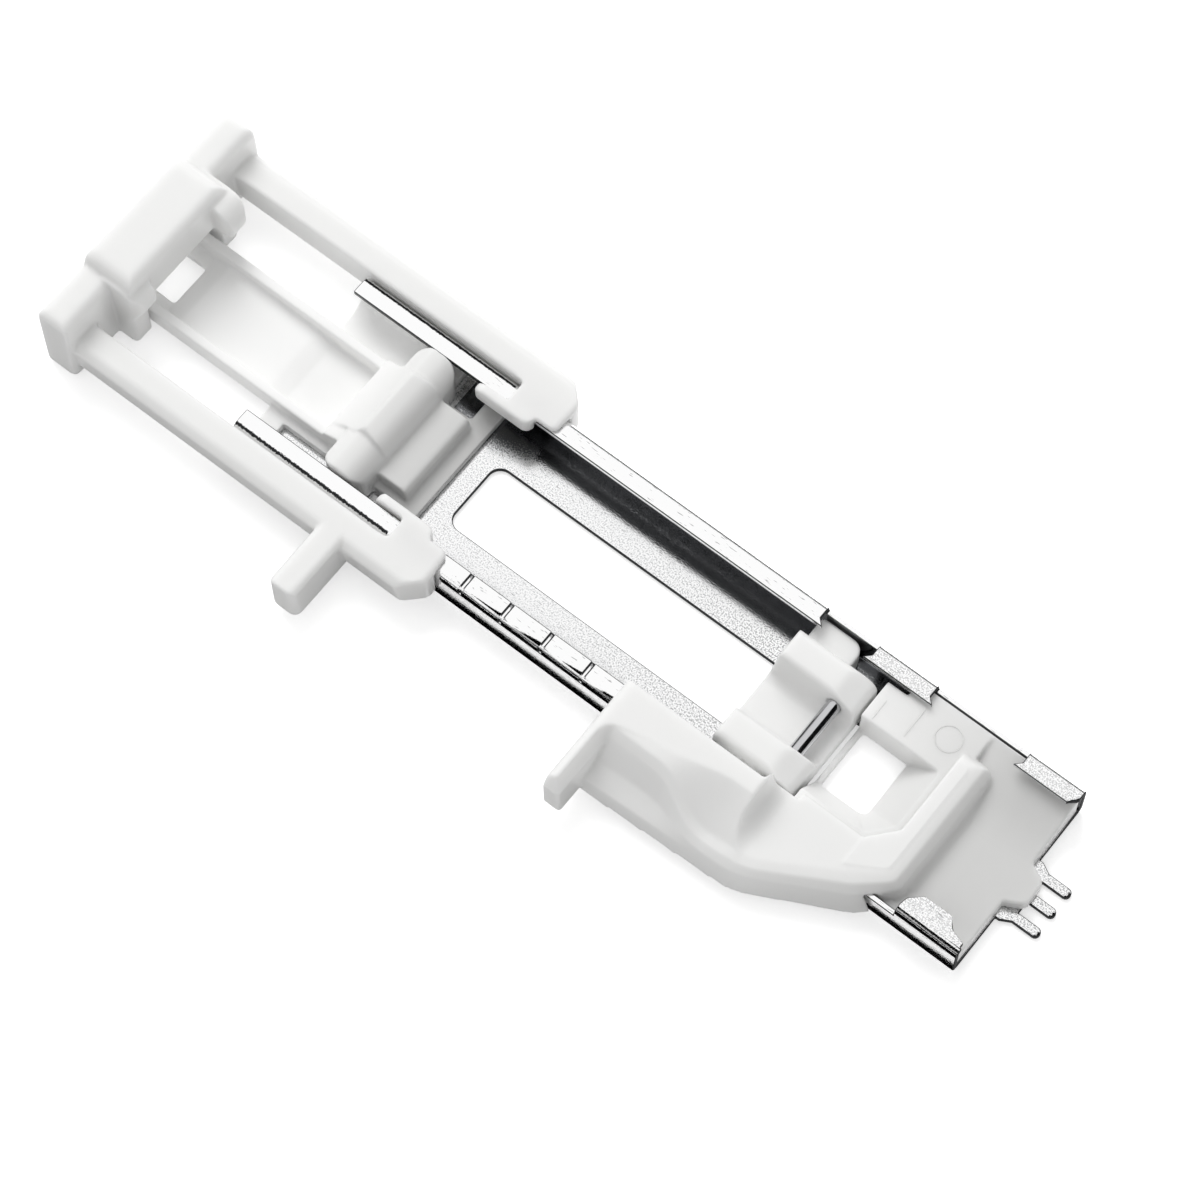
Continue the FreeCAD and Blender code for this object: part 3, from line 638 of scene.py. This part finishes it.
# %% Witness lines
# Place along X, near end and far end along Y, in mm.
for number, (x, near, far) in enumerate(((3.9, 3.9, 6.3), (7.4, 4.4, 7.8)), 1):
    bpy.ops.object.select_all(action="DESELECT")
    bpy.ops.mesh.primitive_cube_add(
        size=1.0, location=(x * MM, (near + far) / 2 * MM, DECK_TOP * MM),
        scale=(0.09 * MM, (far - near) * MM, 0.1 * MM))
    on_deck(bpy.context.object, f"witness_line_{number}")

# %% [markdown]
# ## Studio
#
# The foot lies on a white table in a white room. Both are white to the camera and to reflections,
# so that the background is white without strong lamps, and the table still takes the object's soft
# shadow. Light Path tells the rays apart: what the camera, a reflection or glass sees is white,
# and what lights the object stays plain.

# %% White table
MIDDLE_X = -0.03        # middle of the foot along X, in metres
sole = cad_box[0][2]    # height of the foot's underside


def is_seen(owner):
    """Socket that is 1 for rays from the camera, a reflection or glass, and 0 for lighting."""
    path = add(owner, "ShaderNodeLightPath")
    seen = add(owner, "ShaderNodeMath", {
        0: path.outputs["Is Camera Ray"], 1: path.outputs["Is Glossy Ray"]}, operation="ADD")
    seen = add(owner, "ShaderNodeMath", {
        0: seen.outputs[0], 1: path.outputs["Is Transmission Ray"]},
        operation="ADD", use_clamp=True)
    return seen.outputs[0]


bpy.ops.object.select_all(action="DESELECT")
bpy.ops.mesh.primitive_plane_add(size=4.0, location=(MIDDLE_X, 0, sole - 0.02 * MM))
floor = bpy.context.object
floor.name = "studio_floor"
white_table, place = new_material("White table")
white_table.cycles.emission_sampling = "NONE"
matt = add(white_table, "ShaderNodeBsdfDiffuse", {"Color": colour("#f2f2f2")})
glow = add(white_table, "ShaderNodeEmission", {"Color": (1, 1, 1, 1), "Strength": 0.5})
lit = add(white_table, "ShaderNodeAddShader", {0: matt.outputs[0], 1: glow.outputs[0]})
finish(white_table, add(white_table, "ShaderNodeMixShader", {
    0: is_seen(white_table), 1: matt.outputs[0], 2: lit.outputs[0]}))
floor.data.materials.append(white_table)
print("table", round((sole - floor.location.z) / MM, 3), "mm under the sole")

# %% [markdown]
# ### Cards
#
# Polished metal only shows what stands round it, so a catalogue photographer sets black and grey
# cards beside the table, out of the picture. They put the dark lines along the bends. Here only
# reflections see the cards: they take no light from the object. Along each side of the table
# stands a low black card with a grey one above it. One black card hangs high in front and one
# beside the camera. Two lie flat on the table along the sled's near wall as a painted shadow: the
# wall mirrors them where it would mirror the table's shadow beside it. The narrow white gap between
# them is mirrored as a bright line, a painted reflection too.

# %% Cards for the reflections
def flat_card(name, centre, size, turn, shade):
    """Square card of that size in metres, turned by Euler angles in degrees."""
    bpy.ops.object.select_all(action="DESELECT")
    bpy.ops.mesh.primitive_plane_add(size=1.0, location=centre)
    card = bpy.context.object
    card.name = name
    card.scale = (size[0], size[1], 1)
    card.rotation_euler = [math.radians(a) for a in turn]
    paint, place = new_material(name + " paint")
    finish(paint, add(paint, "ShaderNodeBsdfDiffuse", {"Color": colour(shade)}))
    card.data.materials.append(paint)
    card.visible_camera = False
    card.visible_diffuse = False
    card.visible_shadow = False


for side, (x, y) in enumerate(((0, 0.5), (0, -0.5), (0.5, 0), (-0.5, 0))):
    upright = (90, 0, 0 if y != 0 else 90)
    flat_card(f"dark_card_{side}", (x + MIDDLE_X, y, 0.065), (1.0, 0.13), upright, "#080808")
    flat_card(f"grey_card_{side}", (x + MIDDLE_X, y, 0.20), (1.0, 0.14), upright, "#b4b4b5")
flat_card("dark_card_high_front", (0.26, 0.13, 0.25), (0.38, 0.26), (0, 52, 24), "#141415")
flat_card("dark_card_camera_side", (0.20, -0.30, 0.40), (0.8, 0.5), (45, 0, 38), "#060606")
# Painted shadow: black cards flat on the table beside the near wall, seen only in its reflection.
on_table = sole - 0.01 * MM
flat_card("painted_shadow_card_near_floor", (MIDDLE_X, -0.0622, on_table), (0.5, 0.1), (0, 0, 0), "#060606")
flat_card("painted_shadow_card_near_foot", (MIDDLE_X, -0.01105, on_table), (0.5, 0.0009), (0, 0, 0),
          "#060606")

# %% [markdown]
# ## Light
#
# An even white room fills the shadows, and one large softbox from the rear and the far side models
# the forms, as in a tabletop tent. The softbox is hidden from reflections, because a strong lamp
# mirrored in the sled would burn out its grain.

# %% Room and softbox
world = bpy.data.worlds.new("Studio room")
bpy.context.scene.world = world
world.use_nodes = True
world.node_tree.nodes.clear()
room = add(world, "ShaderNodeBackground", {"Color": (1, 1, 1, 1), "Strength": 0.58})
white = add(world, "ShaderNodeBackground", {"Color": (1, 1, 1, 1), "Strength": 1.0})
both = add(world, "ShaderNodeMixShader", {
    0: is_seen(world), 1: room.outputs[0], 2: white.outputs[0]})
add(world, "ShaderNodeOutputWorld", {"Surface": both.outputs[0]})


def soft_lamp(name, place, aim, size, power):
    """Square soft lamp at a place, looking at a point, metres and watts."""
    data = bpy.data.lights.new(name, "AREA")
    data.size = size
    data.energy = power
    lamp = bpy.data.objects.new(name, data)
    bpy.context.scene.collection.objects.link(lamp)
    lamp.location = place
    lamp.rotation_euler = (Vector(aim) - Vector(place)).to_track_quat("-Z", "Y").to_euler()
    return lamp


key = soft_lamp("Key softbox", (-0.45, 0.33, 0.63), (MIDDLE_X, 0, 0), 0.50, 4.0)
key.visible_glossy = False
print("softbox", round((key.location - Vector((MIDDLE_X, 0, 0))).length, 2), "m from the foot")

# %% [markdown]
# ## Camera
#
# The camera stands high on the near side, far back with a long lens, as for a catalogue picture.
# A long lens keeps the sled's two sides almost parallel. It is turned about a point on the sole,
# so that its two angles and its distance can be set one by one.

# %% Camera
AZIMUTH = math.radians(38.2141)
ELEVATION = math.radians(67.1938)
TARGET = Vector((-25.603, -1.030, -3.6)) * MM
DISTANCE = 415.005 * MM

look = Vector((-math.sin(AZIMUTH) * math.cos(ELEVATION), math.cos(AZIMUTH) * math.cos(ELEVATION),
               -math.sin(ELEVATION)))
lens = bpy.data.cameras.new("Catalogue camera")
lens.lens = 126.0
lens.sensor_width = 36.0
lens.clip_start = 0.01
lens.clip_end = 10.0
camera = bpy.data.objects.new("Catalogue camera", lens)
bpy.context.scene.collection.objects.link(camera)
camera.location = TARGET - look * DISTANCE
camera.rotation_euler = look.to_track_quat("-Z", "Y").to_euler()
bpy.context.scene.camera = camera
bpy.context.scene.view_settings.view_transform = "Standard"
print("camera at", [round(v, 3) for v in camera.location])
